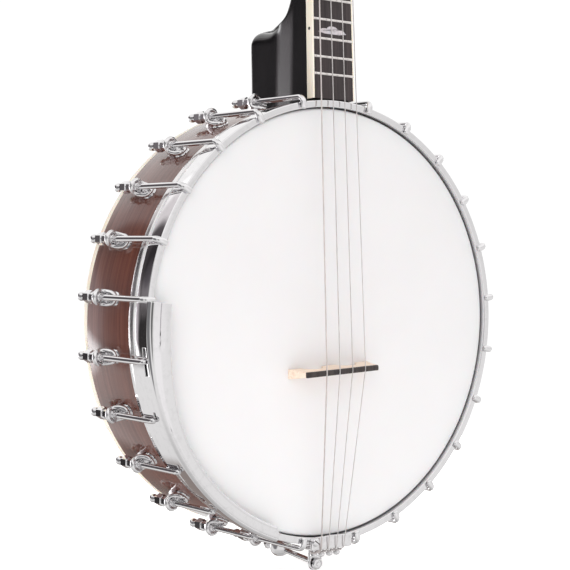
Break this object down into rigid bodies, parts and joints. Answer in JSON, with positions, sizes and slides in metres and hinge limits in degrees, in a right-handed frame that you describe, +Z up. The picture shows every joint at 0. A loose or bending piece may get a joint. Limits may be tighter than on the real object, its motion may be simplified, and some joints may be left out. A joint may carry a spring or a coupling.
{
  "type": "tenor banjo",
  "caption": "Open-back short-scale tenor banjo: drum pot with hooks, chrome hoop and armrest, fretted black neck, pegs that turn, bridge, tailpiece and strings.",
  "frame": {"origin": "middle of the bottom of the bounding box, under the tailpiece, with the banjo held upright", "axes": "+Z up along the pot and neck, the drum head faces -Y, +X to the right of someone facing the head"},
  "size_m": [0.3036, 0.1078, 0.7757],
  "materials": {
    "chrome": "polished chrome plate",
    "nickel": "nickel plated steel",
    "rim_wood": "red-brown stain under gloss lacquer",
    "binding": "cream binding",
    "head_film": "frosted white coating",
    "fingerboard_wood": "oiled dark rosewood",
    "neck_lacquer": "black gloss lacquer",
    "bridge_maple": "bare pale maple",
    "ebony": "satin ebony",
    "nut_bone": "polished bone-coloured nut",
    "string_steel": "bright string wire",
    "pearloid": "pearl plastic"
  },
  "bodies": {
    "banjo": {"rim": "rim_wood", "rim_binding": "binding", "tone_ring": "nickel", "head": "head_film", "flesh_hoop": "nickel", "tension_hoop": "chrome", "coordinator_rod": "nickel", "rod_end_nut": "nickel", "neck": "neck_lacquer", "fingerboard": "fingerboard_wood", "binding_left": "binding", "binding_right": "binding", "nut": "nut_bone", "headstock_veneer": "ebony", "tailpiece": "chrome", "tailpiece_bolt": "nickel", "tailpiece_bracket": "chrome", "bridge": "bridge_maple", "bridge_cap": "ebony", "armrest": "chrome", "bracket_01": "chrome", "bracket_02": "chrome", "bracket_03": "chrome", "bracket_04": "chrome", "bracket_05": "chrome", "bracket_06": "chrome", "bracket_07": "chrome", "bracket_08": "chrome", "bracket_09": "chrome", "bracket_10": "chrome", "bracket_11": "chrome", "bracket_12": "chrome", "bracket_13": "chrome", "bracket_14": "chrome", "bracket_15": "chrome", "bracket_16": "chrome", "bracket_17": "chrome", "bracket_18": "chrome", "bracket_19": "chrome", "bracket_20": "chrome", "bracket_21": "chrome", "bracket_22": "chrome", "bracket_23": "chrome", "bracket_24": "chrome", "string_1": "string_steel", "string_2": "string_steel", "string_3": "string_steel", "string_4": "string_steel", "tuner_1_housing": "chrome", "tuner_2_housing": "chrome", "tuner_3_housing": "chrome", "tuner_4_housing": "chrome"},
    "button_1": {"tuner_1_button": "pearloid"},
    "post_1": {"tuner_1_post": "chrome"},
    "button_2": {"tuner_2_button": "pearloid"},
    "post_2": {"tuner_2_post": "chrome"},
    "button_3": {"tuner_3_button": "pearloid"},
    "post_3": {"tuner_3_post": "chrome"},
    "button_4": {"tuner_4_button": "pearloid"},
    "post_4": {"tuner_4_post": "chrome"}
  },
  "joints": [
    {"name": "tuner_1_button_turn", "type": "hinge", "parent": "banjo", "child": "button_1", "pos_m": [-0.0235, -0.00553, 0.68539], "axis": [0, 0.9611, -0.2761], "continuous": true},
    {"name": "tuner_1_post_turn", "type": "hinge", "parent": "banjo", "child": "post_1", "pos_m": [-0.0235, -0.00553, 0.68539], "axis": [0, 0.9611, -0.2761], "continuous": true},
    {"name": "tuner_2_button_turn", "type": "hinge", "parent": "banjo", "child": "button_2", "pos_m": [0.0235, -0.00553, 0.68539], "axis": [0, 0.9611, -0.2761], "continuous": true},
    {"name": "tuner_2_post_turn", "type": "hinge", "parent": "banjo", "child": "post_2", "pos_m": [0.0235, -0.00553, 0.68539], "axis": [0, 0.9611, -0.2761], "continuous": true},
    {"name": "tuner_3_button_turn", "type": "hinge", "parent": "banjo", "child": "button_3", "pos_m": [-0.0225, 0.00717, 0.7296], "axis": [0, 0.9611, -0.2761], "continuous": true},
    {"name": "tuner_3_post_turn", "type": "hinge", "parent": "banjo", "child": "post_3", "pos_m": [-0.0225, 0.00717, 0.7296], "axis": [0, 0.9611, -0.2761], "continuous": true},
    {"name": "tuner_4_button_turn", "type": "hinge", "parent": "banjo", "child": "button_4", "pos_m": [0.0225, 0.00717, 0.7296], "axis": [0, 0.9611, -0.2761], "continuous": true},
    {"name": "tuner_4_post_turn", "type": "hinge", "parent": "banjo", "child": "post_4", "pos_m": [0.0225, 0.00717, 0.7296], "axis": [0, 0.9611, -0.2761], "continuous": true}
  ],
  "couplings": [
    {"joint": "tuner_1_post_turn", "follows": "tuner_1_button_turn", "ratio": 0.25},
    {"joint": "tuner_2_post_turn", "follows": "tuner_2_button_turn", "ratio": 0.25},
    {"joint": "tuner_3_post_turn", "follows": "tuner_3_button_turn", "ratio": 0.25},
    {"joint": "tuner_4_post_turn", "follows": "tuner_4_button_turn", "ratio": 0.25}
  ]
}
